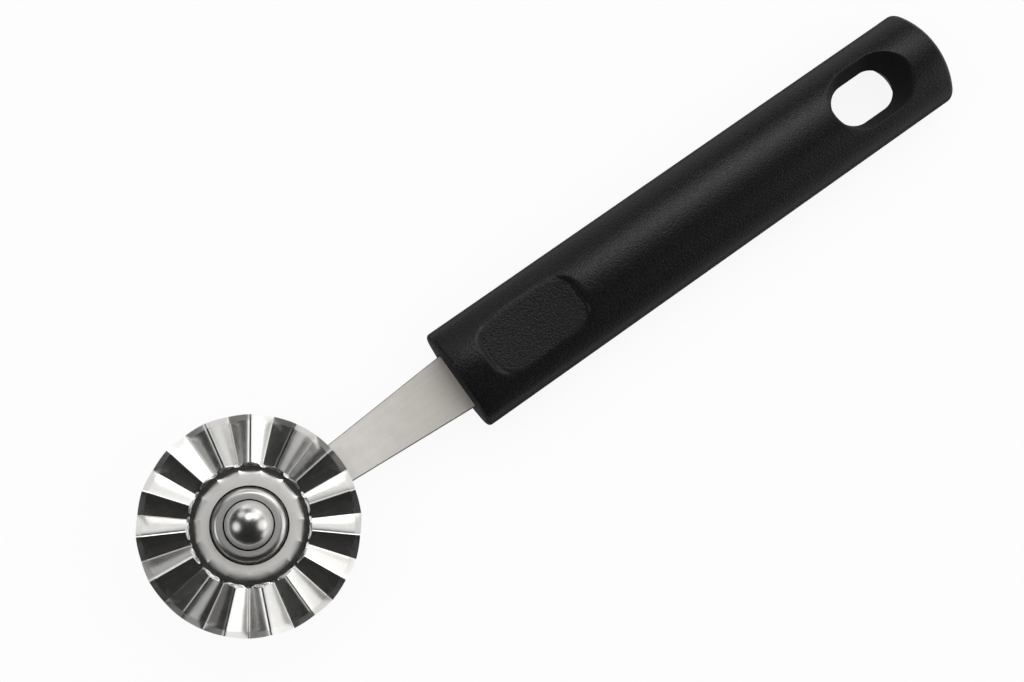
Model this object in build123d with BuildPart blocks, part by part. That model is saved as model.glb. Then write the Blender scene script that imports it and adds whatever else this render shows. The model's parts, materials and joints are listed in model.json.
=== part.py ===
"""Pastry wheel: a fluted steel wheel on a rivet, at the end of a flat steel shank with a moulded handle.

Lengths are in millimetres. The tool lies flat: +X runs from the wheel to the butt of the handle, +Z is
the axle of the wheel, and the origin is under the middle of the tool, on the surface that it lies on.
"""

import os
from math import cos, hypot, radians, tan

from build123d import *

# Fluted wheel, pressed from sheet
wheel_diameter = 40.0
flute_count = 15
flute_depth = 3.4  # from valley to ridge at the rim, before the ridge is flattened
flute_turn = 7.0  # angle from the handle's line to the nearest ridge
sheet_thickness = 0.8
ridge_flat = 0.5  # flattened top of each ridge
web_diameter = 18.4  # flat middle of the wheel, across its flats
ridge_start_diameter = 22.6  # a ridge has its full height from here outwards
valley_start_diameter = 21.2  # a valley has its full depth from here outwards
bevel_width = 1.5  # ground band along the rim
edge_thickness = 0.4  # what the grinding leaves at the rim

# Hub of the wheel: a flanged bush, spread at its back end into a collar
barrel_diameter = 7.0
flange_diameter = 13.7
flange_thickness = 1.6
flange_flat_diameter = 9.2  # flat seat under the rivet's head
flange_edge = 0.25  # upright part of the flange's rounded side
collar_diameter = 11.6
lip_spread = 0.6  # how far, and how deep, the bush is spread into the collar

# Axle rivet: domed head, journal, tenon and peened tail
head_diameter = 8.6
head_height = 2.7
head_edge = 0.3  # upright rim under the dome
journal_diameter = 5.0
tenon_diameter = 4.0
tail_diameter = 6.4
tail_flat_diameter = 4.4
tail_height = 1.0

# Washers in front of the shank and behind it
spacer_diameter = 10.6
spacer_thickness = 0.8
washer_diameter = 9.0
washer_thickness = 0.7

# Shank: a flat strip with an eye for the rivet and a tang inside the handle
shank_thickness = 2.0
eye_width = 8.0
parallel_length = 20.0  # from the axle to where the strip starts to widen
shank_width = 11.5  # at the handle
shank_depth = 4.0  # how far the full width goes into the handle
tang_width = 8.6
tang_length = 44.0  # beyond the full width
tang_hole_diameter = 4.4
tang_hole_count = 2
tang_corner = 1.5

# Handle, moulded over the tang
axle_to_handle = 46.0
handle_length = 115.0
handle_width = 20.6
handle_thickness = 12.0
side_radius = 3.6  # the oval section has these arcs at its sides and flatter ones above and below
front_round = 0.8
butt_radius = 42.0  # curve of the butt, seen from above
butt_round = 1.2
recess_start = 6.9  # from the handle's front to the floor of the thumb recess
recess_length = 20.7  # of its flat floor
recess_width = 12.2
recess_corner = 4.4
recess_depth = 1.3
recess_draft = 40.0  # lean of its walls
hole_to_butt = 16.7  # from the middle of the hanging hole to the butt
hole_length = 13.5  # halfway through, where the hole is narrowest
hole_width = 8.6
hole_draft = 23.0  # angle at which each half of the hole opens

# Clearances
running_clearance = 0.08  # bush on journal, on the radius
end_float = 0.1  # hub between rivet head and spacer, at each end
flute_clearance = 0.8  # flutes above the shank
cutting_allowance = 0.4  # what a blank has outside its finished outline

# Places along the tool
wheel_radius = wheel_diameter / 2
axle_x = (wheel_radius - axle_to_handle - handle_length) / 2
handle_front_x = axle_x + axle_to_handle
butt_x = handle_front_x + handle_length

# Flutes: every ridge and valley points at the middle of the wheel
half_pitch = radians(180 / flute_count)
ridge_slope = flute_depth / wheel_diameter
flank_slope = flute_depth / wheel_radius / tan(half_pitch)
ridge_side = ridge_flat / 2
web_radius = web_diameter / 2
ridge_start = ridge_start_diameter / 2
valley_start = valley_start_diameter / 2 * cos(half_pitch)
valley_reach = ridge_slope * wheel_radius * cos(half_pitch) + sheet_thickness / 2
bevel_start = wheel_radius - bevel_width
blank_reach = wheel_radius + cutting_allowance
bevel_depth = (sheet_thickness - edge_thickness) / 2 * (blank_reach - bevel_start) / bevel_width

# Heights, from the surface that the handle lies on
middle_z = handle_thickness / 2
shank_bottom = middle_z - shank_thickness / 2
shank_top = middle_z + shank_thickness / 2
spacer_top = shank_top + spacer_thickness
hub_bottom = spacer_top + end_float
web_z = shank_top + flute_clearance + valley_reach
web_bottom = web_z - sheet_thickness / 2
web_top = web_z + sheet_thickness / 2
flange_top = web_top + flange_thickness
head_bottom = flange_top + end_float
washer_bottom = shank_bottom - washer_thickness

# Radii about the axle
barrel_radius = barrel_diameter / 2
lip_radius = barrel_radius + lip_spread
journal_radius = journal_diameter / 2
bush_bore = journal_radius + running_clearance
tenon_radius = tenon_diameter / 2

axle = Axis((axle_x, 0, 0), (0, 0, 1))
axle_section = Plane(origin=(axle_x, 0, 0), x_dir=(1, 0, 0), z_dir=(0, -1, 0))
wheel_plane = Plane(origin=(axle_x, 0, web_z), z_dir=(0, 0, 1)).rotated((0, 0, flute_turn))


def half_width(x):
    """Half the width of a flute, at a distance from the axle along its ridge."""
    return x * tan(half_pitch)


def sheet(x, y, lift=0.0):
    """Point on the fluted sheet, with the ridge along X. The lift is from the middle of the sheet."""
    return (x, y, ridge_slope * x - flank_slope * max(abs(y), ridge_side) + lift)


def press(*corners):
    """Stretch of sheet over one flat facet."""
    facet = Face(Wire.make_polygon(corners))
    extrude(facet, amount=sheet_thickness / 2, dir=(0, 0, 1), both=True)


def grind(upward, *corners):
    """Cut above one flat facet, or below it."""
    facet = Face(Wire.make_polygon(corners))
    extrude(facet, amount=sheet_thickness, dir=(0, 0, upward), mode=Mode.SUBTRACT)


# One flute: facets at its root lift it from the flat web, and its rim is ground thin from both faces
with BuildPart() as flute:
    press(
        (web_radius, -half_width(web_radius), 0),
        (web_radius, half_width(web_radius), 0),
        sheet(ridge_start, ridge_side),
        sheet(ridge_start, -ridge_side),
    )
    press(
        sheet(ridge_start, -ridge_side),
        sheet(ridge_start, ridge_side),
        sheet(blank_reach, ridge_side),
        sheet(blank_reach, -ridge_side),
    )
    for side in (1, -1):
        press(
            (web_radius, side * half_width(web_radius), 0),
            sheet(valley_start, side * half_width(valley_start)),
            sheet(ridge_start, side * ridge_side),
        )
        press(
            sheet(ridge_start, side * ridge_side),
            sheet(valley_start, side * half_width(valley_start)),
            sheet(blank_reach, side * half_width(blank_reach)),
            sheet(blank_reach, side * ridge_side),
        )
    for upward in (1, -1):
        surface = upward * sheet_thickness / 2
        ground = surface - upward * bevel_depth
        grind(
            upward,
            sheet(bevel_start, -ridge_side, surface),
            sheet(bevel_start, ridge_side, surface),
            sheet(blank_reach, ridge_side, ground),
            sheet(blank_reach, -ridge_side, ground),
        )
        for side in (1, -1):
            grind(
                upward,
                sheet(bevel_start, side * ridge_side, surface),
                sheet(bevel_start, side * half_width(bevel_start), surface),
                sheet(blank_reach, side * half_width(blank_reach), ground),
                sheet(blank_reach, side * ridge_side, ground),
            )
    Cylinder(wheel_radius, wheel_diameter, mode=Mode.INTERSECT)

with BuildPart(wheel_plane) as fluted_wheel:
    with BuildSketch(wheel_plane):
        RegularPolygon(web_radius, flute_count, major_radius=False, rotation=180 / flute_count)
    extrude(amount=sheet_thickness / 2, both=True)
    with PolarLocations(0, flute_count):
        add(flute.part)
    with BuildSketch(wheel_plane):
        Circle(barrel_radius)
    extrude(amount=sheet_thickness, both=True, mode=Mode.SUBTRACT)

with BuildPart() as hub_bush:
    with BuildSketch(axle_section):
        with BuildLine():
            Polyline(
                (flange_diameter / 2, web_top + flange_edge),
                (flange_diameter / 2, web_top),
                (barrel_radius, web_top),
                (barrel_radius, hub_bottom + lip_spread),
                (lip_radius, hub_bottom),
                (bush_bore, hub_bottom),
                (bush_bore, flange_top),
                (flange_flat_diameter / 2, flange_top),
            )
            TangentArc(
                (flange_flat_diameter / 2, flange_top),
                (flange_diameter / 2, web_top + flange_edge),
                tangent=(1, 0),
            )
        make_face()
    revolve(axis=axle)

with BuildPart() as hub_collar:
    with BuildSketch(axle_section):
        with BuildLine():
            Polyline(
                (barrel_radius, web_bottom),
                (collar_diameter / 2, web_bottom),
                (collar_diameter / 2, hub_bottom),
                (lip_radius, hub_bottom),
                (barrel_radius, hub_bottom + lip_spread),
                close=True,
            )
        make_face()
    revolve(axis=axle)

with BuildPart() as axle_rivet:
    with BuildSketch(axle_section):
        with BuildLine():
            TangentArc(
                (0, head_bottom + head_height),
                (head_diameter / 2, head_bottom + head_edge),
                tangent=(1, 0),
            )
            Polyline(
                (head_diameter / 2, head_bottom + head_edge),
                (head_diameter / 2, head_bottom),
                (journal_radius, head_bottom),
                (journal_radius, spacer_top),
                (tenon_radius, spacer_top),
                (tenon_radius, washer_bottom),
                (tail_diameter / 2, washer_bottom),
                (tail_flat_diameter / 2, washer_bottom - tail_height),
                (0, washer_bottom - tail_height),
                (0, head_bottom + head_height),
            )
        make_face()
    revolve(axis=axle)

with BuildPart() as spacer_washer:
    with BuildSketch(Plane((axle_x, 0, shank_top))):
        Circle(spacer_diameter / 2)
        Circle(tenon_radius, mode=Mode.SUBTRACT)
    extrude(amount=spacer_thickness)

with BuildPart() as rivet_washer:
    with BuildSketch(Plane((axle_x, 0, washer_bottom))):
        Circle(washer_diameter / 2)
        Circle(tenon_radius, mode=Mode.SUBTRACT)
    extrude(amount=washer_thickness)

shoulder_x = handle_front_x + shank_depth
tang_end_x = shoulder_x + tang_length
tang_hole_pitch = tang_length / (tang_hole_count + 1)
with BuildPart() as shank:
    with BuildSketch(Plane.XY.offset(shank_bottom)):
        with BuildLine():
            Polyline(
                (axle_x, -eye_width / 2),
                (axle_x + parallel_length, -eye_width / 2),
                (handle_front_x, -shank_width / 2),
                (shoulder_x, -shank_width / 2),
                (shoulder_x, -tang_width / 2),
                (tang_end_x, -tang_width / 2),
                (tang_end_x, tang_width / 2),
                (shoulder_x, tang_width / 2),
                (shoulder_x, shank_width / 2),
                (handle_front_x, shank_width / 2),
                (axle_x + parallel_length, eye_width / 2),
                (axle_x, eye_width / 2),
            )
            ThreePointArc(
                (axle_x, eye_width / 2),
                (axle_x - eye_width / 2, 0),
                (axle_x, -eye_width / 2),
            )
        make_face()
        with Locations((axle_x, 0)):
            Circle(tenon_radius, mode=Mode.SUBTRACT)
        with Locations((shoulder_x + tang_length / 2, 0)):
            with GridLocations(tang_hole_pitch, 0, tang_hole_count, 1):
                Circle(tang_hole_diameter / 2, mode=Mode.SUBTRACT)
    extrude(amount=shank_thickness)
    fillet(shank.edges().filter_by(Axis.Z).group_by(Axis.X)[-1], tang_corner)

# Thumb recess as the mould makes it: a rounded block with leaning walls
recess_x = handle_front_x + recess_start + recess_length / 2
with BuildPart() as recess_core:
    with BuildSketch(Plane((recess_x, 0, handle_thickness - recess_depth))):
        RectangleRounded(recess_length, recess_width, recess_corner)
    extrude(amount=recess_depth + cutting_allowance, taper=-recess_draft)

# Hanging hole as the mould makes it: two drafted cores that meet halfway through
hole_x = butt_x - hole_to_butt
core_z = middle_z + cutting_allowance
with BuildPart() as hole_core:
    with BuildSketch(Plane((hole_x, 0, middle_z))):
        SlotOverall(hole_length, hole_width)
    extrude(amount=core_z, both=True, taper=-hole_draft)

# Oval section of the handle: side arcs and flatter crown arcs, which meet without a corner
side_centre = handle_width / 2 - side_radius
crown_radius = (side_centre**2 + middle_z**2 - side_radius**2) / (2 * (middle_z - side_radius))
crown_drop = crown_radius - middle_z
side_reach = side_radius / hypot(side_centre, crown_drop)
meet_y = side_centre * (1 + side_reach)
meet_z = crown_drop * side_reach
with BuildPart() as handle:
    with BuildSketch(Plane(origin=(handle_front_x, 0, middle_z), x_dir=(0, 1, 0), z_dir=(1, 0, 0))):
        with BuildLine():
            ThreePointArc((-meet_y, meet_z), (0, middle_z), (meet_y, meet_z))
            ThreePointArc((meet_y, meet_z), (handle_width / 2, 0), (meet_y, -meet_z))
            ThreePointArc((meet_y, -meet_z), (0, -middle_z), (-meet_y, -meet_z))
            ThreePointArc((-meet_y, -meet_z), (-handle_width / 2, 0), (-meet_y, meet_z))
        make_face()
    extrude(amount=handle_length + cutting_allowance)
    with BuildSketch(Plane.XY):
        with Locations((butt_x - butt_radius, 0)):
            Circle(butt_radius)
            Rectangle(handle_length - butt_radius, 2 * butt_radius, align=(Align.MAX, Align.CENTER))
    extrude(amount=handle_thickness, mode=Mode.INTERSECT)
    fillet(handle.faces().sort_by(Axis.X)[0].edges(), front_round)
    fillet(handle.faces().sort_by(Axis.X)[-1].edges(), butt_round)
    add(recess_core.part, mode=Mode.SUBTRACT)
    add(hole_core.part, mode=Mode.SUBTRACT)
    add(shank.part, mode=Mode.SUBTRACT)

pieces = {
    "handle": handle,
    "shank": shank,
    "fluted_wheel": fluted_wheel,
    "hub_bush": hub_bush,
    "hub_collar": hub_collar,
    "axle_rivet": axle_rivet,
    "spacer_washer": spacer_washer,
    "rivet_washer": rivet_washer,
}
os.makedirs("parts", exist_ok=True)
for name, piece in pieces.items():
    piece.part.label = name
    export_step(piece.part, f"parts/{name}.step")
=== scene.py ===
# %% [markdown]
# # A pastry wheel
#
# The tool has a fluted steel wheel, a flat steel shank and a black moulded handle. Its solids already
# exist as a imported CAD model, and this lesson dresses them: each piece is modelled again with finer
# edges, gets its finish, and is set on the body that it moves with.

# %% Load the frame
import json
from math import atan2, copysign, cos, degrees, hypot, pi, radians, sin, sqrt, tan

import bmesh
import bpy
from mathutils import Matrix, Vector


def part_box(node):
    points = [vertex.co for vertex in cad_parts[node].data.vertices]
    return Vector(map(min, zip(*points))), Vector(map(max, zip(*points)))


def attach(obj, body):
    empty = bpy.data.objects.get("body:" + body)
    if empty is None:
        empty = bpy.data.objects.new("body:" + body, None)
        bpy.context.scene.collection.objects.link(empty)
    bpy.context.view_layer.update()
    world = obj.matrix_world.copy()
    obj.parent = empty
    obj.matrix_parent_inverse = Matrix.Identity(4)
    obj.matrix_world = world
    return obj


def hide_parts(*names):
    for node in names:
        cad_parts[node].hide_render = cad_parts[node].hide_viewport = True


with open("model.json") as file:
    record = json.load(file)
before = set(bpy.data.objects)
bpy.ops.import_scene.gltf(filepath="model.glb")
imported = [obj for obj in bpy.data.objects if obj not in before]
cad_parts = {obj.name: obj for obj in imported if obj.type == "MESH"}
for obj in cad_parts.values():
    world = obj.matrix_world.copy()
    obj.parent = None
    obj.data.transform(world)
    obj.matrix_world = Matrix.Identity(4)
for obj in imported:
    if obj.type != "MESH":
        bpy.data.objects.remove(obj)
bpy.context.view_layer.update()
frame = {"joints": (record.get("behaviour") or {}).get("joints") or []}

# %% [markdown]
# Blender counts in metres, and this tool is easier to think of in millimetres. So the shapes are drawn in
# millimetres and made small in one go. What the frame can tell is read from it: where the handle starts
# and ends, and where the axle stands. The thumb recess and the hanging hole are placed here as well,
# because more than one step below needs them.

# %% Sizes from the frame
mm = 0.001
handle_low, handle_high = (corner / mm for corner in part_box("handle"))
front_x = handle_low.x
butt_x = handle_high.x
half_width = handle_high.y
half_thick = (handle_high.z - handle_low.z) / 2
middle_z = (handle_high.z + handle_low.z) / 2
axle = Vector(frame["joints"][0]["pos_m"]) / mm
recess_half = Vector((20.7 / 2, 12.2 / 2))
recess_corner = 4.4
recess_start = front_x + 6.9
recess_x = recess_start + recess_half.x
hole_half = Vector((13.5 / 2, 8.6 / 2))
hole_from_butt = 16.7
hole_x = butt_x - hole_from_butt
print(f"handle from {front_x:.1f} to {butt_x:.1f} mm, axle at {axle.x:.1f} mm")
print(f"recess at {recess_x:.1f} mm, hole at {hole_x:.1f} mm")

# %% [markdown]
# Colours are written as the hex values that a screen shows. Blender computes with linear light, so one
# function turns them. Another adds a node to a material, with its settings and links, and a third mixes
# two colours with such a node. The last one starts a material with a plain colour and gloss, which the
# nodes of each finish then vary.

# %% Helpers for finishes
def linear(hex_colour):
    """Linear colour of an sRGB hex value."""
    channels = [int(hex_colour[k : k + 2], 16) / 255 for k in (1, 3, 5)]
    return [c / 12.92 if c <= 0.04045 else ((c + 0.055) / 1.055) ** 2.4 for c in channels] + [1.0]


def node(tree, kind, sockets=None, **settings):
    """Node of this kind, with its settings. A socket takes a value, or an output to link."""
    made = tree.nodes.new(kind)
    for name, value in settings.items():
        setattr(made, name, value)
    for name, value in (sockets or {}).items():
        if isinstance(value, bpy.types.NodeSocket):
            tree.links.new(value, made.inputs[name])
        else:
            made.inputs[name].default_value = value
    return made


def mix(tree, factor, first, second):
    """Colour between two others. This node's sockets go by number: 6 and 7 take colours, 2 gives one."""
    sockets = {"Factor": factor, 6: first, 7: second}
    return node(tree, "ShaderNodeMix", sockets, data_type="RGBA").outputs[2]


def finish(name, colour, roughness, metallic=0.0):
    """New material with its shader and its Object coordinates."""
    material = bpy.data.materials.new(name)
    material.use_nodes = True
    tree = material.node_tree
    shader = tree.nodes["Principled BSDF"]
    shader.inputs["Base Color"].default_value = linear(colour)
    shader.inputs["Roughness"].default_value = roughness
    shader.inputs["Metallic"].default_value = metallic
    place = node(tree, "ShaderNodeTexCoord").outputs["Object"]
    return material, tree, shader, place


print(f"a grey of #808080 is {linear('#808080')[0]:.3f} in linear light")

# %% [markdown]
# The handle is black polypropylene, moulded in a tool whose walls were etched by sparks. That leaves a
# fine grain of pits, which dulls the gloss and breaks the light into specks along the crown. A picture of
# grain would need a map around the handle, so a noise does it: it bumps the surface and changes its
# roughness. Real pits are about 0.1 mm wide. Here they are 0.36 mm, because finer ones would vanish
# between two pixels. The thumb recess is etched more deeply for grip. In plan it is a rectangle with
# round corners, so the distance from a smaller rectangle inside it tells which points are in it. That
# distance is taken in plan, so the underside gets the same patch.

# %% Black moulded plastic: the grain and the recess
moulded_plastic, tree, shader, place = finish("moulded_black_polypropylene", "#131314", 0.31)
shader.inputs["Specular IOR Level"].default_value = 0.28
grain_size = 0.36 * mm
grain = {"Vector": place, "Scale": 1 / grain_size, "Detail": 3.0}
grain = node(tree, "ShaderNodeTexNoise", grain).outputs["Fac"]
mark_edge = (recess_corner - 0.1) * mm
mark_full = (recess_corner - 0.9) * mm
from_recess = {"Vector": place, "Location": (-recess_x * mm, 0, 0), "Scale": (1, 1, 0)}
from_recess = node(tree, "ShaderNodeMapping", from_recess).outputs["Vector"]
aside = node(tree, "ShaderNodeVectorMath", {0: from_recess}, operation="ABSOLUTE").outputs["Vector"]
straight = ((recess_half.x - recess_corner) * mm, (recess_half.y - recess_corner) * mm, 0)
aside = node(tree, "ShaderNodeVectorMath", {0: aside, 1: straight}, operation="SUBTRACT").outputs["Vector"]
aside = node(tree, "ShaderNodeVectorMath", {0: aside, 1: (0, 0, 0)}, operation="MAXIMUM").outputs["Vector"]
aside = node(tree, "ShaderNodeVectorMath", {0: aside}, operation="LENGTH").outputs["Value"]
in_recess = {"Value": aside, "From Min": mark_edge, "From Max": mark_full}
in_recess = node(tree, "ShaderNodeMapRange", in_recess).outputs["Result"]
print(f"{moulded_plastic.name}: grain of {grain_size / mm:.2f} mm")

# %% [markdown]
# Pits scatter the light, so they look a little paler than the skin between them. The grain mixes two
# blacks for that, and the recess, which is etched deeper, gets more of the paler one. Steep walls are
# rubbed dull, because the mould slides along them as it opens. So the roughness follows the slope as well:
# Z of the normal is 1 on flat ground and 0 on a wall.

# %% Black moulded plastic: colour, gloss and pits
pale = node(tree, "ShaderNodeMath", {0: in_recess, 1: 0.5, 2: 0.5}, operation="MULTIPLY_ADD").outputs[0]
pale = node(tree, "ShaderNodeMath", {0: pale, 1: grain}, operation="MULTIPLY").outputs[0]
black = mix(tree, pale, linear("#0b0b0b"), linear("#212122"))
tree.links.new(black, shader.inputs["Base Color"])
normal = node(tree, "ShaderNodeNewGeometry").outputs["Normal"]
slope = node(tree, "ShaderNodeSeparateXYZ", {0: normal}).outputs["Z"]
slope = node(tree, "ShaderNodeMath", {0: slope}, operation="ABSOLUTE").outputs[0]
rubbed = {"Value": slope, "From Min": 0.8, "From Max": 0.4, "To Max": 0.6}
rubbed = node(tree, "ShaderNodeMapRange", rubbed).outputs["Result"]
dull = {"Value": grain, "From Min": 0.3, "From Max": 0.7, "To Min": 0.17, "To Max": 0.35}
dull = node(tree, "ShaderNodeMapRange", dull).outputs["Result"]
dull = node(tree, "ShaderNodeMath", {0: dull, 1: rubbed}, operation="ADD").outputs[0]
tree.links.new(dull, shader.inputs["Roughness"])
depth = node(tree, "ShaderNodeMath", {0: in_recess, 1: 1.6, 2: 1.0}, operation="MULTIPLY_ADD").outputs[0]
depth = node(tree, "ShaderNodeMath", {0: grain, 1: depth}, operation="MULTIPLY").outputs[0]
pit_depth = 0.066 * mm
pits = node(tree, "ShaderNodeBump", {"Height": depth, "Strength": 1.0, "Distance": pit_depth})
tree.links.new(pits.outputs["Normal"], shader.inputs["Normal"])
print(f"{moulded_plastic.name}: pits of {pit_depth / mm:.3f} mm, {len(tree.nodes)} nodes")

# %% [markdown]
# The shank is cut from stainless strip with a satin finish. Rolling and brushing leave fine lines along
# the strip, so a noise is squeezed: long along X, narrow across. Real brush lines are about 0.05 mm
# apart. Here they are 0.4 mm apart, because finer ones would vanish between two pixels. A slower noise
# gives the clouds of a satin surface. Towards the handle the strip is painted a little darker: painted
# shade and a painted reflection of the black handle. Brushing also scatters a part of the light as a matt
# surface does, so Metallic stays below 1.

# %% Satin stainless strip: lines and clouds
satin_steel, tree, shader, place = finish("satin_stainless_strip", "#f0eeeb", 0.87, 0.6)
line_gap = 0.4 * mm
line_length = 14 * mm
line_depth = 0.02 * mm
squeezed = {"Vector": place, "Scale": (1 / line_length, 1 / line_gap, 1 / line_gap)}
squeezed = node(tree, "ShaderNodeMapping", squeezed).outputs["Vector"]
lines = node(tree, "ShaderNodeTexNoise", {"Vector": squeezed, "Scale": 1.0, "Detail": 3.0}).outputs["Fac"]
satin = {"Value": lines, "From Min": 0.3, "From Max": 0.7, "To Min": 0.82, "To Max": 0.94}
tree.links.new(node(tree, "ShaderNodeMapRange", satin).outputs["Result"], shader.inputs["Roughness"])
cloud_size = 3 * mm
clouds = {"Vector": place, "Scale": 1 / cloud_size, "Detail": 3.0}
clouds = node(tree, "ShaderNodeTexNoise", clouds).outputs["Fac"]
bright = mix(tree, clouds, linear("#e2dfda"), linear("#fbf9f6"))
# Painted shade and reflection: the steel is painted darker towards the handle, for the black handle beside
# it.
along = node(tree, "ShaderNodeSeparateXYZ", {0: place}).outputs["X"]
neck_end = axle.x + 20.0
painted_handle_reflection = {"Value": along, "From Min": neck_end * mm, "From Max": front_x * mm}
painted_handle_reflection = node(tree, "ShaderNodeMapRange", painted_handle_reflection).outputs["Result"]
bright = mix(tree, painted_handle_reflection, bright, linear("#d5d1cb"))
print(f"{satin_steel.name}: lines {line_gap / mm} mm apart")

# %% [markdown]
# The sides of the strip are sheared, not brushed. Where the surface turns away from Z the steel is painted
# greyer, which is painted shade, and the corners between face and side get a painted dark line of shade.

# %% Satin stainless strip: sides and corners, with painted shade
normal = node(tree, "ShaderNodeNewGeometry").outputs["Normal"]
slope = node(tree, "ShaderNodeSeparateXYZ", {0: normal}).outputs["Z"]
slope = node(tree, "ShaderNodeMath", {0: slope}, operation="ABSOLUTE").outputs[0]
# Painted shade: the sides are painted greyer, and the corners get a painted dark line.
painted_side_shade = {"Value": slope, "From Min": 0.9, "From Max": 0.6}
painted_side_shade = node(tree, "ShaderNodeMapRange", painted_side_shade).outputs["Result"]
metal = mix(tree, painted_side_shade, bright, linear("#94938f"))
corner_slope = 0.55
corner_spread = 0.35
corner = {0: slope, 1: corner_slope, 2: corner_spread}
corner = node(tree, "ShaderNodeMath", corner, operation="COMPARE").outputs[0]
metal = mix(tree, corner, metal, linear("#2a2928"))
tree.links.new(metal, shader.inputs["Base Color"])
brushed = node(tree, "ShaderNodeBump", {"Height": lines, "Strength": 0.3, "Distance": line_depth})
tree.links.new(brushed.outputs["Normal"], shader.inputs["Normal"])
print(f"{satin_steel.name}: {len(tree.nodes)} nodes")

# %% [markdown]
# The wheel is pressed from bright stainless sheet. The press draws the flutes over hard polished dies,
# which keeps them bright, while the web between hub and flutes stays satin, as the sheet came from the
# mill. Both are one metal, so one finish follows the distance from the axle: rough and a little matt on
# the web, smooth on the flutes, and a little duller again on the ground rim. A soft noise stands for the
# slight waves that pressing leaves. A thin dark ring in the joint around the hub is painted shade.

# %% Bright pressed sheet
pressed_steel, tree, shader, place = finish("bright_pressed_stainless", "#f0efec", 0.18, 1.0)
to_axle = (-axle.x * mm, -axle.y * mm, 0)
from_axle = {"Vector": place, "Location": to_axle, "Scale": (1, 1, 0)}
from_axle = node(tree, "ShaderNodeMapping", from_axle).outputs["Vector"]
distance = node(tree, "ShaderNodeVectorMath", {0: from_axle}, operation="LENGTH").outputs["Value"]
satin_end = 8.4 * mm
bright_start = 10.0 * mm
rim_start = 18.6 * mm
rim_full = 19.0 * mm
web = {"Value": distance, "From Min": satin_end, "From Max": bright_start, "To Min": 0.9, "To Max": 0.2}
web_dull = node(tree, "ShaderNodeMapRange", web, interpolation_type="SMOOTHSTEP").outputs["Result"]
satin = {"Value": distance, "From Min": satin_end, "From Max": bright_start, "To Min": 0.8, "To Max": 1.0}
tree.links.new(node(tree, "ShaderNodeMapRange", satin).outputs["Result"], shader.inputs["Metallic"])
rim = {"Value": distance, "From Min": rim_start, "From Max": rim_full, "To Min": 0.0, "To Max": 0.1}
rim_dull = node(tree, "ShaderNodeMapRange", rim, interpolation_type="SMOOTHSTEP").outputs["Result"]
wave_size = 2.2 * mm
wave_depth = 0.02 * mm
waves = {"Vector": place, "Scale": 1 / wave_size, "Detail": 2.0}
waves = node(tree, "ShaderNodeTexNoise", waves).outputs["Fac"]
uneven = node(tree, "ShaderNodeMath", {0: waves, 1: 0.12, 2: -0.06}, operation="MULTIPLY_ADD").outputs[0]
dull = node(tree, "ShaderNodeMath", {0: web_dull, 1: rim_dull}, operation="ADD").outputs[0]
dull = node(tree, "ShaderNodeMath", {0: dull, 1: uneven}, operation="ADD").outputs[0]
tree.links.new(dull, shader.inputs["Roughness"])
flange_joint = 6.98 * mm
joint_half = 0.12 * mm
# Painted shade: a thin dark ring in the joint under the flange of the bush.
joint = {0: distance, 1: flange_joint, 2: joint_half}
joint = node(tree, "ShaderNodeMath", joint, operation="COMPARE").outputs[0]
painted_shade = mix(tree, joint, linear("#f0efec"), linear("#141414"))
tree.links.new(painted_shade, shader.inputs["Base Color"])
drawn = node(tree, "ShaderNodeBump", {"Height": waves, "Strength": 0.5, "Distance": wave_depth})
tree.links.new(drawn.outputs["Normal"], shader.inputs["Normal"])
print(f"{pressed_steel.name}: waves of {wave_size / mm} mm")

# %% [markdown]
# Bush, collar and rivet are turned from stainless bar. The rivet head is polished after it is set, so it
# mirrors the room. The flange around it keeps the fine rings of the lathe tool, which spread the light,
# and its rounded shoulder is worn bright again. The rings of a real lathe are about 0.1 mm apart. They
# are drawn 0.3 mm apart, so that they show.

# %% Turned stainless: polish and rings
turned_steel, tree, shader, place = finish("turned_stainless_bar", "#e2e1de", 0.14, 1.0)
from_axle = {"Vector": place, "Location": to_axle, "Scale": (1, 1, 0)}
from_axle = node(tree, "ShaderNodeMapping", from_axle).outputs["Vector"]
distance = node(tree, "ShaderNodeVectorMath", {0: from_axle}, operation="LENGTH").outputs["Value"]
polish_end = 3.5 * mm
rings_start = 4.0 * mm
head = {"Value": distance, "From Min": polish_end, "From Max": rings_start, "To Min": 0.25, "To Max": 0.6}
head_dull = node(tree, "ShaderNodeMapRange", head).outputs["Result"]
worn_start = 5.4 * mm
worn_full = 5.9 * mm
worn = {"Value": distance, "From Min": worn_start, "From Max": worn_full, "To Min": 0.0, "To Max": -0.36}
worn_dull = node(tree, "ShaderNodeMapRange", worn, interpolation_type="SMOOTHSTEP").outputs["Result"]
head_dull = node(tree, "ShaderNodeMath", {0: head_dull, 1: worn_dull}, operation="ADD").outputs[0]
ring_gap = 0.3 * mm
rings = {"Vector": from_axle, "Scale": 2 * pi / (20 * ring_gap), "Distortion": 0.6, "Detail": 1.0}
rings = node(tree, "ShaderNodeTexWave", rings, wave_type="RINGS", rings_direction="Z").outputs["Fac"]
beyond_head = {"Value": distance, "From Min": polish_end, "From Max": rings_start, "To Max": 0.1}
beyond_head = node(tree, "ShaderNodeMapRange", beyond_head).outputs["Result"]
dull = {0: rings, 1: beyond_head, 2: head_dull}
dull = node(tree, "ShaderNodeMath", dull, operation="MULTIPLY_ADD").outputs[0]
tree.links.new(dull, shader.inputs["Roughness"])
print(f"{turned_steel.name}: rings {ring_gap / mm} mm apart")
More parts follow.
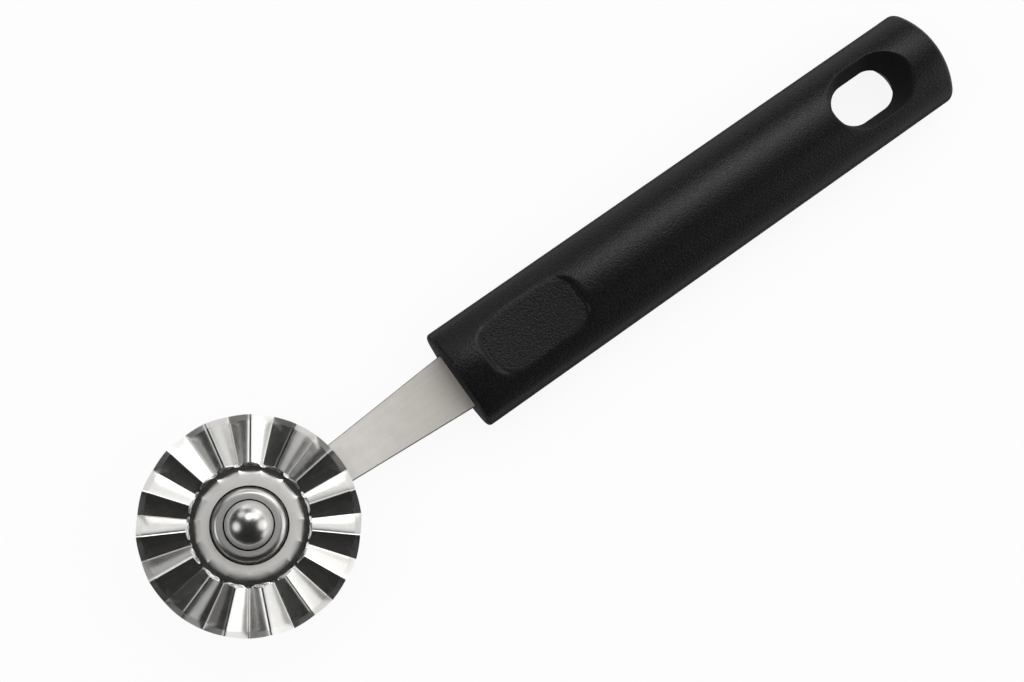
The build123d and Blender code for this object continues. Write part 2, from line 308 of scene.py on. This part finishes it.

# %% [markdown]
# Light hardly reaches the joint between head and flange, nor the foot of the flange. Both come out as
# dark lines, so the colour is painted dark in a thin ring and towards the foot: painted shade.

# %% Turned stainless: painted shade at joint and foot
head_joint = 4.48 * mm
head_joint_half = 0.13 * mm
foot_start = 6.2 * mm
foot_full = 6.8 * mm
# Painted shade: dark in a thin ring at the head's joint and towards the flange's foot.
joint = {0: distance, 1: head_joint, 2: head_joint_half}
joint = node(tree, "ShaderNodeMath", joint, operation="COMPARE").outputs[0]
foot = {"Value": distance, "From Min": foot_start, "From Max": foot_full}
foot = node(tree, "ShaderNodeMapRange", foot, interpolation_type="SMOOTHSTEP").outputs["Result"]
joint = node(tree, "ShaderNodeMath", {0: joint, 1: foot}, operation="MAXIMUM").outputs[0]
painted_shade = mix(tree, joint, linear("#e2e1de"), linear("#141414"))
tree.links.new(painted_shade, shader.inputs["Base Color"])
print(f"{turned_steel.name}: {len(tree.nodes)} nodes")

# %% [markdown]
# Most of the handle is made by pulling a ring of points along the tool. One function makes the first
# ring, and one pulls its edges on. Each point carries a number, so a ring can be put anywhere by a rule
# for point k. A third function breaks sharp edges, which catch no light. The last one merges what meets,
# makes the mesh small and puts it in the scene in place of a CAD node.

# %% Helpers for shapes
merge_gap = 0.002
sharp_angle = radians(40)


def ring(bm, count, put):
    """Closed ring of numbered points, each put where put(number) says."""
    number = bm.verts.layers.int.verify()
    points = bmesh.ops.create_circle(bm, segments=count, radius=1)["verts"]
    for k, point in enumerate(points):
        point[number] = k
        point.co = put(k)
    return list({edge for point in points for edge in point.link_edges})


def pull(bm, edges, put):
    """Extrudes a ring of edges. Each new point keeps its number and goes where put(number) says."""
    number = bm.verts.layers.int.verify()
    grown = bmesh.ops.extrude_edge_only(bm, edges=edges)["geom"]
    for point in grown:
        if isinstance(point, bmesh.types.BMVert):
            point.co = put(point[number])
    return [edge for edge in grown if isinstance(edge, bmesh.types.BMEdge)]


def break_edges(bm, offset):
    """Rounds every sharp edge of a closed bmesh with a small bevel."""
    rims = [edge for edge in bm.edges if edge.calc_face_angle(0) > sharp_angle]
    bmesh.ops.bevel(
        bm,
        geom=rims,
        offset=offset,
        offset_type="OFFSET",
        affect="EDGES",
        segments=3,
        profile=0.5,
        material=-1,
    )


def make_piece(name, bm, material, body, cad_node, crease=35):
    """Turns a closed bmesh in millimetres into a piece that stands for a CAD node."""
    bmesh.ops.remove_doubles(bm, verts=bm.verts, dist=merge_gap)
    bmesh.ops.recalc_face_normals(bm, faces=bm.faces)
    bmesh.ops.scale(bm, vec=(mm, mm, mm), verts=bm.verts)
    loose = sum(not edge.is_manifold for edge in bm.edges)
    mesh = bpy.data.meshes.new(name)
    bm.to_mesh(mesh)
    bm.free()
    mesh.shade_smooth()
    mesh.set_sharp_from_angle(angle=radians(crease))
    mesh.materials.append(material)
    made = bpy.data.objects.new(name, mesh)
    bpy.context.scene.collection.objects.link(made)
    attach(made, body)
    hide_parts(cad_node)
    print(f"{name}: {len(mesh.polygons)} faces, {loose} open edges")
    return made


print(f"edges of more than {degrees(sharp_angle):.0f} degrees count as sharp")

# %% [markdown]
# The handle's section is an oval of four arcs: two flat ones for the crowns and two tight ones for the
# sides. Equal steps along the surface keep the faces even, so the oval is written as a function of the
# run over the surface, counted from the middle of the crown.

# %% Oval of the handle
side_radius = 3.6
side_centre = half_width - side_radius
crown_radius = (side_centre**2 + half_thick**2 - side_radius**2) / (2 * (half_thick - side_radius))
crown_drop = crown_radius - half_thick
crown_angle = atan2(side_centre, crown_drop)
crown_run = crown_radius * crown_angle
half_run = crown_run + side_radius * (pi / 2 - crown_angle)
quarter = 32  # points on a quarter of the oval


def oval(run, inset=0.0):
    """Place across and above the middle, at a run over the surface from the middle of the crown."""
    side = copysign(1, run)
    if abs(run) < crown_run:
        angle = abs(run) / crown_radius
        reach = crown_radius - inset
        return side * reach * sin(angle), reach * cos(angle) - crown_drop
    angle = crown_angle + (abs(run) - crown_run) / side_radius
    reach = side_radius - inset
    return side * (side_centre + reach * sin(angle)), reach * cos(angle)


def around(k, inset=0.0):
    """Place of point k of the ring around the handle, which starts at its +Y side and goes over the top."""
    folded = min(k, 4 * quarter - k)
    y, z = oval(half_run * (1 - folded / quarter), inset)
    return y, z if k <= 2 * quarter else -z


def crown(y):
    """Height of the crown above the middle."""
    return sqrt(crown_radius**2 - y**2) - crown_drop


print(f"crown radius {crown_radius:.2f} mm, once around {4 * half_run:.1f} mm")

# %% [markdown]
# The thumb rests in a shallow recess: a floor that is slightly scooped, with leaning walls and rounded
# corners. A boolean cut would leave hard edges, so the recess is a height over the plan instead, and the
# tube takes the lower of crown and recess. A soft minimum rounds the rim where the two meet. The rings
# stand close along the recess and far apart behind it, up to the patch with the hanging hole.

# %% Handle: the tube with its thumb recess
front_round = 0.8
recess_floor = handle_high.z - 1.3
recess_lean = 1 / tan(radians(40))
recess_scoop = 0.4
recess_foot = 0.2
recess_rim = 0.25
patch_start = hole_x - 13.5
patch_end = hole_x + 12.0
fine_start = front_x + 4.0
fine_end = front_x + 31.0
fine_step = 0.25
plain_rows = (20.0, 40.0, patch_start)


def recess_height(x, y):
    """Height of the thumb recess's floor and leaning walls."""
    out_x = abs(x - recess_x) - recess_half.x + recess_corner
    out_y = abs(y) - recess_half.y + recess_corner
    outside = hypot(max(out_x, 0), max(out_y, 0)) + min(max(out_x, out_y), 0) - recess_corner
    scoop = recess_scoop * ((x - recess_x) / recess_half.x) ** 2
    return recess_floor + scoop + recess_lean * (outside + hypot(outside, recess_foot)) / 2


def on_tube(x):
    """Where the points of a ring at x go."""

    def put(k):
        y, z = around(k)
        height = middle_z + z
        if z > 0:
            floor = recess_height(x, y)
            height = (height + floor - hypot(height - floor, recess_rim)) / 2
        return (x, y, height)

    return put


handle = bmesh.new()
tube = ring(handle, 4 * quarter, on_tube(front_x + front_round))
front_edges = tube
x = fine_start
while x < fine_end:
    tube = pull(handle, tube, on_tube(x))
    x += fine_step
for x in plain_rows:
    tube = pull(handle, tube, on_tube(x))
print("handle tube:", len(handle.faces), "faces")

# %% [markdown]
# At the front the edge is rounded, and the strip of the shank goes in through a tight slot. The same ring
# of points is pulled round the edge, over the front face to the slot, and a little way in.

# %% Handle: the front, with the slot for the shank
shank_half = 11.5 / 2
strip_sheet = 2.0
slot_gap = 0.12
slot_half = (shank_half + slot_gap, strip_sheet / 2 + slot_gap)
slot_depth = 3.0
slot_spread = 1.02  # a little over 1, so that the slot's corners come close to its ends
front_rows = 6


def on_front(angle):
    """Where the points of the rounded front edge go, at an angle from the side to the front face."""

    def put(k):
        y, z = around(k, front_round * (1 - cos(angle)))
        return (front_x + front_round * (1 - sin(angle)), y, middle_z + z)

    return put


def on_slot(x):
    """Where the points of the slot go."""

    def put(k):
        folded = min(k, 4 * quarter - k)
        y = slot_half[0] * max(-1, min(1, slot_spread - slot_spread * folded / quarter))
        z = 0.0 if folded in (0, 2 * quarter) else slot_half[1]
        return (x, y, middle_z + (z if k <= 2 * quarter else -z))

    return put


edge = front_edges
for step in range(1, front_rows + 1):
    edge = pull(handle, edge, on_front(step / front_rows * pi / 2))
edge = pull(handle, edge, on_slot(front_x))
edge = pull(handle, edge, on_slot(front_x + slot_depth))
bmesh.ops.holes_fill(handle, edges=edge, sides=0)
print("handle front:", len(handle.faces), "faces")

# %% [markdown]
# Near the butt a slot with round ends goes through, to hang the tool up. The mould closes from above and
# from below, so the hole narrows from both faces to a waist halfway. Its outline gets as many points as
# the outline of the patch of handle around it, so that the patch can be stretched from one to the other.

# %% Handle: outline of the hanging hole
hole_lean = tan(radians(23.0))
rim_round = 0.4
straight_x = hole_half.x - hole_half.y
arc_run = hole_half.y * pi / 2
mouth_tries = 12


def quadrant(k):
    """Signs along X and Y of point k of a ring around the hole, and its number from X axis to Y axis."""
    sign_y = 1 if k <= 4 * quarter else -1
    k = min(k, 8 * quarter - k)
    sign_x = 1 if k <= 2 * quarter else -1
    return sign_x, sign_y, min(k, 4 * quarter - k)


def waist(k):
    """Place of point k on the narrow outline halfway through, from the hole's middle, and its way out."""
    sign_x, sign_y, step = quadrant(k)
    if step <= quarter:
        run = step / quarter * arc_run / 2
    else:
        run = arc_run / 2 + (step - quarter) / quarter * (arc_run / 2 + straight_x)
    angle = min(run, arc_run) / hole_half.y
    out = Vector((cos(angle), sin(angle)))
    place = Vector((straight_x - max(0, run - arc_run), 0)) + hole_half.y * out
    signs = Vector((sign_x, sign_y))
    return place * signs, out * signs


def mouth(k, beyond=0.0):
    """Place on the crown where the leaning wall meets it, or beyond it, from the hole's middle."""
    place, out = waist(k)
    offset = 0.0
    for _ in range(mouth_tries):
        offset = hole_lean * crown((place + (offset + beyond) * out).y)
    rim = place + (offset + beyond) * out
    return Vector((rim.x, rim.y, crown(rim.y)))


print(f"hole: {2 * hole_half.x:.1f} by {2 * hole_half.y:.1f} mm at its waist")
print(f"hole at the crown: {2 * mouth(0).x:.1f} mm long")

# %% [markdown]
# Each face of the handle gets its own patch. Rings are pulled from the outline of the patch to the rim of
# the hole, round the rim, and down the leaning wall to the waist, where the two faces meet and are merged
# later.

# %% Handle: the hole
patch_rows = 10
rim_rows = 6
wall_rows = 4


def on_patch(share, face):
    """Where the points of a ring go, from the patch's outline at share 0 to the hole's rounded edge at 1."""

    def put(k):
        sign_x, sign_y, step = quadrant(k)
        end_x = patch_end if sign_x > 0 else patch_start
        if step <= quarter:
            outer = Vector((end_x, sign_y * half_run * step / quarter))
        else:
            outer = Vector((end_x + (hole_x - end_x) * (step - quarter) / quarter, sign_y * half_run))
        rim = mouth(k, rim_round)
        inner = Vector((hole_x + rim.x, crown_radius * atan2(rim.y, rim.z + crown_drop)))
        flat = outer.lerp(inner, share)
        y, z = oval(flat.y)
        return (flat.x, y, middle_z + face * z)

    return put


def down_wall(k):
    """Direction from the mouth to the waist, down the leaning wall at point k."""
    _, out = waist(k)
    return Vector((-hole_lean * out.x, -hole_lean * out.y, -1)).normalized()


def on_rim(share, face):
    """Where the points of the hole's rounded edge go, from the crown at share 0 to the wall at 1."""

    def put(k):
        start, corner = mouth(k, rim_round), mouth(k)
        end = corner + rim_round * down_wall(k)
        bend = start.lerp(corner, share).lerp(corner.lerp(end, share), share)
        return (hole_x + bend.x, bend.y, middle_z + face * bend.z)

    return put


def on_wall(share, face):
    """Where the points of the hole's wall go, from its rounded edge at share 0 to the waist at 1."""

    def put(k):
        place, _ = waist(k)
        start = mouth(k) + rim_round * down_wall(k)
        spot = start.lerp(Vector((place.x, place.y, 0)), share)
        return (hole_x + spot.x, spot.y, middle_z + face * spot.z)

    return put


for face in (1, -1):
    edge = ring(handle, 8 * quarter, on_patch(0, face))
    for step in range(1, patch_rows + 1):
        edge = pull(handle, edge, on_patch(step / patch_rows, face))
    for step in range(1, rim_rows + 1):
        edge = pull(handle, edge, on_rim(step / rim_rows, face))
    for step in range(1, wall_rows + 1):
        edge = pull(handle, edge, on_wall(step / wall_rows, face))
print("handle with its hole:", len(handle.faces), "faces")

# %% [markdown]
# The butt is cut along a wide arc and its edge is rounded. The last ring of points is closed with strips
# across the handle, from each point on top to the one below it, and the handle is a piece.

# %% Handle: the butt
butt_radius = 42.0
butt_round = 1.2
butt_rows = 8


def on_butt(angle):
    """Where the points of the rounded butt edge go, at an angle from the side to the end face."""

    def put(k):
        y, z = around(k, butt_round * (1 - cos(angle)))
        face_x = butt_x - butt_radius + sqrt(butt_radius**2 - y**2)
        return (face_x - butt_round * (1 - sin(angle)), y, middle_z + z)

    return put


tube = ring(handle, 4 * quarter, on_tube(patch_end))
for step in range(butt_rows + 1):
    tube = pull(handle, tube, on_butt(step / butt_rows * pi / 2))
number = handle.verts.layers.int.verify()
end_points = {point[number]: point for edge in tube for point in edge.verts}
for k in range(2 * quarter):
    corners = [end_points[j % (4 * quarter)] for j in (k, k + 1, 4 * quarter - k - 1, 4 * quarter - k)]
    bmesh.ops.contextual_create(handle, geom=list(dict.fromkeys(corners)))
make_piece("moulded_handle", handle, moulded_plastic, "handle_and_shank", "handle")

# %% [markdown]
# The shank is one blanked strip: a round eye at the axle, a parallel neck, a taper to the handle and a
# narrower tang inside it. Its outline is drawn as one face and extruded. Blanking and tumbling leave the
# edges slightly round, so they are bevelled.

# %% Shank
shank_low, shank_high = (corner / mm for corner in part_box("shank"))
eye_radius = 4.0
eye_steps = 24
shank_depth = 4.0
tang_half = 8.6 / 2
tang_length = 44.0
tumbled_edge = 0.2
shank = bmesh.new()
outline = [
    (axle.x, -eye_radius),
    (neck_end, -eye_radius),
    (front_x, -shank_half),
    (front_x + shank_depth, -shank_half),
    (front_x + shank_depth, -tang_half),
    (front_x + shank_depth + tang_length, -tang_half),
]
outline += [(x, -y) for x, y in reversed(outline)]
turns = [k / eye_steps * pi for k in range(1, eye_steps)]
outline += [(axle.x - eye_radius * sin(turn), eye_radius * cos(turn)) for turn in turns]
corners = [shank.verts.new((x, y, shank_low.z)) for x, y in outline]
strip = bmesh.ops.contextual_create(shank, geom=corners)["faces"]
grown = bmesh.ops.extrude_face_region(shank, geom=strip, use_keep_orig=True)["geom"]
top = [point for point in grown if isinstance(point, bmesh.types.BMVert)]
bmesh.ops.translate(shank, vec=(0, 0, shank_high.z - shank_low.z), verts=top)
bmesh.ops.recalc_face_normals(shank, faces=shank.faces)
break_edges(shank, tumbled_edge)
make_piece("steel_shank", shank, satin_steel, "handle_and_shank", "shank")

# %% [markdown]
# The wheel is a flat disc that a press folds into flutes. It is made the same way here: a spoke of points
# is spun into a flat disc, and in the next step each point is lifted to the height of the pressed sheet.
# Along the spoke the points stand close where the flutes begin and where the ground rim does.

# %% Wheel: the flat disc
wheel_radius = 20.0
flute_count = 15
per_flute = 32
web_rows = [3.5, 6.0, 7.8]
root_rows = [8.0 + 0.1 * k for k in range(38)]
flank_rows = [11.9 + 0.6 * k for k in range(11)]
ground_rows = [18.3, 18.6, 18.7, 18.8, 18.9, 19.2, 19.6, 19.9]
radii = web_rows + root_rows + flank_rows + ground_rows + [wheel_radius]
wheel = bmesh.new()
spoke = [wheel.verts.new((radius, 0, 0)) for radius in radii]
spoke += [wheel.edges.new(pair) for pair in zip(spoke, spoke[1:])]
bmesh.ops.spin(
    wheel,
    geom=spoke,
    cent=(0, 0, 0),
    axis=(0, 0, 1),
    angle=2 * pi,
    steps=per_flute * flute_count,
    use_merge=True,
)
print("flat disc:", len(wheel.faces), "faces")

# %% [markdown]
# The press leaves the middle of the sheet flat, as a web. Around the web runs a shallow groove with a
# scalloped edge, where the sheet was drawn in, and beyond it the flutes rise within about half a
# millimetre. A flute is two flat flanks that meet in a tight ridge and a tighter valley. So the height of
# the sheet is one function of the radius and of the share of the way from a ridge to a valley. Points are
# drawn together towards the ridges and valleys, where the sheet bends. The rim is trimmed on a slight
# cone, so that a ridge reaches a little less far than a valley.

# %% Wheel: the pressed flutes
flute_turn = radians(7.0)
flute_depth = 3.2
root_radius = 10.65
ridge_start = 11.2
valley_start = 11.1
web_edge = 8.0
web_scallop = 0.6
groove_run = 1.6
groove_depth = 0.36
half_pitch = pi / flute_count
flank_slope = flute_depth / wheel_radius / tan(half_pitch)
ridge_round = 0.3
valley_round = 0.1
gather = 0.13
rim_cone = 0.07


def ease(share):
    """Soft step from 0 to 1."""
    share = max(0, min(1, share))
    return share * share * (3 - 2 * share)


def press(radius, share):
    """Height of the pressed sheet: share is 0 on a ridge, and 1 or -1 on the valleys beside it."""
    angle = share * half_pitch
    x = radius * cos(angle)
    y = radius * abs(sin(angle))
    gap = x * tan(half_pitch) - y
    off_ridge = hypot(y, ridge_round) - hypot(gap, valley_round) + gap
    height = flute_depth / 2 / wheel_radius * x - flank_slope * off_ridge
    full = ridge_start + (valley_start - ridge_start) * abs(share)
    rise = ease((radius - root_radius) / (full - root_radius))
    groove = groove_depth * ease((radius - web_edge - web_scallop * share**2) / groove_run)
    return height * rise - groove * (1 - rise)


for point in wheel.verts:
    radius = hypot(point.co.x, point.co.y)
    angle = atan2(point.co.y, point.co.x) / (2 * half_pitch)
    share = 2 * (angle - round(angle))
    bent = share - gather * sin(2 * pi * share)
    turn = (2 * round(angle) + bent) * half_pitch + flute_turn
    height = press(radius, bent)
    outward = ease((radius - root_radius) / (wheel_radius - root_radius))
    reach = radius - rim_cone * (height + flute_depth / 2) * outward
    point.co = (reach * cos(turn), reach * sin(turn), height)
print(f"flutes: {flute_count}, flanks at {degrees(atan2(flank_slope, 1)):.0f} degrees")

# %% [markdown]
# The sheet gets its thickness by extruding the whole surface and spreading the two skins. Near the rim
# they come closer, because the edge is ground thin on both sides to cut the dough.

# %% Wheel: the thickness and the ground rim
sheet = 0.8
edge_sheet = 0.62
bevel_start = 18.8
grown = bmesh.ops.extrude_face_region(wheel, geom=wheel.faces[:], use_keep_orig=True)["geom"]
upper = {point for point in grown if isinstance(point, bmesh.types.BMVert)}
for point in wheel.verts:
    radius = hypot(point.co.x, point.co.y)
    ground = max(0, (radius - bevel_start) / (wheel_radius - bevel_start))
    thick = sheet - (sheet - edge_sheet) * ground
    point.co.z += thick / 2 if point in upper else -thick / 2
bmesh.ops.translate(wheel, vec=axle, verts=wheel.verts)
make_piece("pressed_wheel", wheel, pressed_steel, "wheel", "fluted_wheel", crease=40)

# %% [markdown]
# The hub is a stack of turned pieces on the axle. Each one is a profile of radius and height that is spun
# once round, as on a lathe, and every sharp edge is broken.

# %% Helpers for turned pieces
lathe_steps = 128


def arc(centre, radius, start, end, steps=16):
    """Points of an arc, as radius and height, from one angle to another in degrees."""
    angles = [radians(start + (end - start) * k / steps) for k in range(steps + 1)]
    return [(centre[0] + radius * cos(a), centre[1] + radius * sin(a)) for a in angles]


def turned(name, profile, material, body, cad_node, soft=0.08, closed=True):
    """Piece turned about the axle from a profile of radius and height. Its sharp edges are broken."""
    bm = bmesh.new()
    points = [bm.verts.new((radius, 0, height)) for radius, height in profile]
    pairs = list(zip(points, points[1:]))
    if closed:
        pairs.append((points[-1], points[0]))
    spun = points + [bm.edges.new(pair) for pair in pairs]
    bmesh.ops.spin(
        bm, geom=spun, cent=(0, 0, 0), axis=(0, 0, 1), angle=2 * pi, steps=lathe_steps, use_merge=True
    )
    bmesh.ops.remove_doubles(bm, verts=bm.verts, dist=merge_gap)
    bmesh.ops.recalc_face_normals(bm, faces=bm.faces)
    break_edges(bm, soft)
    bmesh.ops.translate(bm, vec=(axle.x, axle.y, 0), verts=bm.verts)
    return make_piece(name, bm, material, body, cad_node)


print(f"turned pieces: {lathe_steps} steps around the axle")

# %% [markdown]
# The wheel sits on a bush, which turns with it. The flange of the bush rests on the web, flat in the
# middle and rounded off to the outside, and its lower end is spread outwards, which holds the collar
# behind the web.

# %% Bush and collar
bush_low, bush_high = (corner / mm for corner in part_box("hub_bush"))
collar_low, collar_high = (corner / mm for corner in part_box("hub_collar"))
web_top = axle.z + sheet / 2
barrel_radius = 3.5
bore_radius = 2.58
lip_radius = 4.1
lip_height = 0.6
collar_radius = 5.8
flange_flat = 5.3
flange_radius = 6.85
flange_edge = 0.25
flange_run = flange_radius - flange_flat
flange_drop = bush_high.z - web_top - flange_edge
flange_round = (flange_run**2 + flange_drop**2) / (2 * flange_drop)
flange_end = 90 - degrees(atan2(flange_run, flange_round - flange_drop))
bush_profile = [(bore_radius, bush_low.z), (bore_radius, bush_high.z)]
bush_profile += arc((flange_flat, bush_high.z - flange_round), flange_round, 90, flange_end)
bush_profile += [(flange_radius, web_top), (barrel_radius, web_top)]
bush_profile += [(barrel_radius, bush_low.z + lip_height), (lip_radius, bush_low.z)]
turned("flanged_bush", bush_profile, turned_steel, "wheel", "hub_bush", soft=0.05)
collar_profile = [(barrel_radius, collar_high.z), (collar_radius, collar_high.z)]
collar_profile += [(collar_radius, collar_low.z), (lip_radius, collar_low.z)]
collar_profile += [(barrel_radius, collar_low.z + lip_height)]
turned("back_collar", collar_profile, turned_steel, "wheel", "hub_collar")

# %% [markdown]
# The axle is a rivet with a domed head. Its shoulder stands on a spacer washer above the shank, and its
# tail is spread under a second washer below. So the rivet, the washers and the shank are one, and the
# bush turns freely between head and spacer.

# %% Rivet and washers
rivet_low, rivet_high = (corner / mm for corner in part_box("axle_rivet"))
spacer_low, spacer_high = (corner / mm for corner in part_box("spacer_washer"))
washer_low, washer_high = (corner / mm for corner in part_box("rivet_washer"))
head_radius = 4.3
head_edge = 0.3
journal_radius = 2.5
tenon_radius = 2.0
tail_radius = 3.2
tail_flat = 2.2
spacer_radius = 5.3
washer_radius = 4.5
end_float = 0.1
head_bottom = bush_high.z + end_float
dome_drop = rivet_high.z - head_bottom - head_edge
dome_round = (head_radius**2 + dome_drop**2) / (2 * dome_drop)
dome_end = 90 - degrees(atan2(head_radius, dome_round - dome_drop))
rivet_profile = arc((0, rivet_high.z - dome_round), dome_round, 90, dome_end, 24)
rivet_profile += [(head_radius, head_bottom), (journal_radius, head_bottom)]
rivet_profile += [(journal_radius, spacer_high.z), (tenon_radius, spacer_high.z)]
rivet_profile += [(tenon_radius, washer_low.z), (tail_radius, washer_low.z)]
rivet_profile += [(tail_flat, rivet_low.z), (0, rivet_low.z)]
turned(
    "domed_rivet",
    rivet_profile,
    turned_steel,
    "handle_and_shank",
    "axle_rivet",
    closed=False,
)
spacer_profile = [(tenon_radius, spacer_low.z), (spacer_radius, spacer_low.z)]
spacer_profile += [(spacer_radius, spacer_high.z), (tenon_radius, spacer_high.z)]
turned("spacer_ring", spacer_profile, satin_steel, "handle_and_shank", "spacer_washer")
washer_profile = [(tenon_radius, washer_low.z), (washer_radius, washer_low.z)]
washer_profile += [(washer_radius, washer_high.z), (tenon_radius, washer_high.z)]
turned("tail_washer", washer_profile, satin_steel, "handle_and_shank", "rivet_washer")

# %% [markdown]
# The tool lies on white paper. Paper is lit like anything else and would come out grey in places, so nine
# tenths of what the camera or a reflection sees of it is an even glow. The last tenth is lit paper, which
# takes the shadow of the tool.

# %% Floor
floor_half = 3.0
floor_sheet = bmesh.new()
bmesh.ops.create_grid(floor_sheet, x_segments=1, y_segments=1, size=floor_half)
floor_mesh = bpy.data.meshes.new("floor")
floor_sheet.to_mesh(floor_mesh)
floor_sheet.free()
floor = bpy.data.objects.new("floor", floor_mesh)
bpy.context.scene.collection.objects.link(floor)
paper, tree, shader, _ = finish("white_paper", "#f2f2f2", 0.9)
path = node(tree, "ShaderNodeLightPath").outputs
seen = {0: path["Is Camera Ray"], 1: path["Is Glossy Ray"]}
seen = node(tree, "ShaderNodeMath", seen, operation="MAXIMUM").outputs[0]
seen = {0: seen, 1: path["Is Transmission Ray"]}
seen = node(tree, "ShaderNodeMath", seen, operation="MAXIMUM").outputs[0]
paper_glow = 0.9
share = node(tree, "ShaderNodeMath", {0: seen, 1: paper_glow}, operation="MULTIPLY").outputs[0]
white = node(tree, "ShaderNodeEmission", {"Color": linear("#ffffff"), "Strength": 1.0}).outputs[0]
blend = node(tree, "ShaderNodeMixShader", {0: share, 1: shader.outputs[0], 2: white})
tree.links.new(blend.outputs[0], tree.nodes["Material Output"].inputs["Surface"])
floor_mesh.materials.append(paper)
print(f"floor: {2 * floor_half} m of {paper.name}")

# %% [markdown]
# Steel shows the room more than its own colour, so the light is a room: soft lamps on a dim background.
# They are drawn into the world, where each one is a round glow with a soft edge. A row of low lamps
# stands on the handle's side. It lights those flanks of the flutes that face it, and leaves the others
# dark. One strong lamp draws the streak along the handle, and four panels halfway up give the hub its
# highlights. There is none overhead, where the camera is.

# %% Room light
world = bpy.data.worlds.new("dim_studio")
world.use_nodes = True
tree = world.node_tree
towards = node(tree, "ShaderNodeTexCoord").outputs["Generated"]


def glow(azimuth, height, core, reach, strength):
    """Soft lamp in the room: full within core degrees of its middle, and gone at its reach."""
    azimuth, height = radians(azimuth), radians(height)
    middle = (cos(height) * cos(azimuth), cos(height) * sin(azimuth), sin(height))
    near = {0: towards, 1: middle}
    near = node(tree, "ShaderNodeVectorMath", near, operation="DOT_PRODUCT").outputs["Value"]
    outer, inner = cos(radians(reach)), cos(radians(core))
    fade = {"Value": near, "From Min": outer, "From Max": inner, "To Max": strength}
    return node(tree, "ShaderNodeMapRange", fade, interpolation_type="SMOOTHSTEP").outputs["Result"]


low_row = [glow(azimuth, 13, 5, 18, 0.7) for azimuth in (-46, -23, 0, 23, 46)]
low_row += [glow(-66, 10, 4, 15, 0.9), glow(66, 10, 4, 15, 0.9), glow(78, 10, 4, 13, 0.6)]
streak = glow(57, 55, 4, 16, 3.0)
panels = [glow(22, 36, 12, 25, 1.1), glow(-34, 34, 12, 24, 1.1)]
panels += [glow(90, 35, 8, 17, 0.95), glow(152, 37, 11, 20, 1.1)]
lamps = low_row + [streak] + panels
level = 0.022
for lamp in lamps:
    level = node(tree, "ShaderNodeMath", {0: level, 1: lamp}, operation="ADD").outputs[0]
tree.links.new(level, tree.nodes["Background"].inputs["Strength"])
tree.nodes["Background"].inputs["Color"].default_value = (1, 1, 1, 1)
bpy.context.scene.world = world
print("lamps in the room:", len(lamps))

# %% [markdown]
# The room alone would leave matt surfaces too dark: a white card would come out grey. A wide sun lamp
# stands for the light that a ceiling sends back, and brings a written colour to about its own value. A
# ceiling is too dull to show in steel, so the lamp is hidden from reflections.

# %% Ceiling light
ceiling = bpy.data.lights.new("ceiling_bounce", "SUN")
ceiling.energy = 1.75
ceiling.angle = radians(120)
ceiling_lamp = bpy.data.objects.new("ceiling_bounce", ceiling)
ceiling_lamp.visible_glossy = False
bpy.context.scene.collection.objects.link(ceiling_lamp)
print(f"{ceiling.name}: {ceiling.energy} W per square metre")

# %% [markdown]
# A soft box hangs high up beyond the butt, outside the picture, and widens the streak along the crown. It
# is there for highlights only, so it is hidden from matt surfaces and from the camera.

# %% Soft box
soft_box = bpy.data.lights.new("soft_box", "AREA")
soft_box.shape = "RECTANGLE"
soft_box.size = 170 * mm
soft_box.size_y = 150 * mm
soft_box.energy = 0.052
soft_box_middle = Vector((front_x + 164, 75, 244))
soft_box_lamp = bpy.data.objects.new("soft_box", soft_box)
soft_box_lamp.location = soft_box_middle * mm
soft_box_lamp.visible_camera = False
soft_box_lamp.visible_diffuse = False
bpy.context.scene.collection.objects.link(soft_box_lamp)
print(f"{soft_box.name}: {soft_box.energy} W")

# %% [markdown]
# The camera stands over the wheel, tilted a little towards the handle, which is why the wheel is seen
# from right above and the hole at a slant. Its place, its three directions and its focal length, which is
# counted in pixels of the picture, were worked out from the outlines of wheel, handle and hole.

# %% Camera
focal_pixels = 1549.8
picture_pixels = 1024
lens = bpy.data.cameras.new("camera")
lens.sensor_width = 36.0
lens.lens = focal_pixels / picture_pixels * lens.sensor_width
camera = bpy.data.objects.new("camera", lens)
right = Vector((0.807065, -0.580414, 0.108474))
up = Vector((0.564624, 0.812363, 0.145832))
back = Vector((-0.172763, -0.056449, 0.983345))
stand = Vector((axle.x + 8.604, -16.12, 292.434)) * mm
camera.matrix_world = Matrix.Translation(stand) @ Matrix((right, up, back)).transposed().to_4x4()
bpy.context.scene.collection.objects.link(camera)
bpy.context.scene.camera = camera
bpy.context.scene.view_settings.view_transform = "Standard"
print(f"lens of {lens.lens:.1f} mm")
